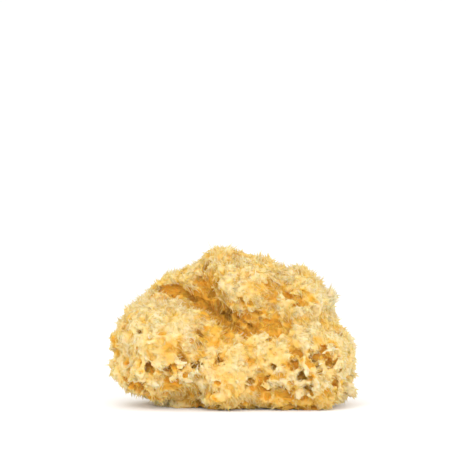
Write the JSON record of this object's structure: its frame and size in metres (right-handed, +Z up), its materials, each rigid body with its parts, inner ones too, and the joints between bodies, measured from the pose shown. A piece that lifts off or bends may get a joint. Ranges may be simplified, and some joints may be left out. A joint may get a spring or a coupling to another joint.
{
  "type": "sea sponge",
  "caption": "Natural sea sponge: a golden, lumpy dome with folds, open canals and a flat cut base, used for bathing.",
  "frame": {"origin": "middle of the part's box at its base: the middle of the flat cut, on the surface it stands on", "axes": "+X to the right and along the longest side, +Z up, and the front with the deep fold faces -Y"},
  "size_m": [0.15, 0.106, 0.1],
  "materials": {
    "spongin": "matte golden fibre, open and tufted"
  },
  "bodies": {
    "root": {"sponge": "spongin"}
  },
  "joints": []
}
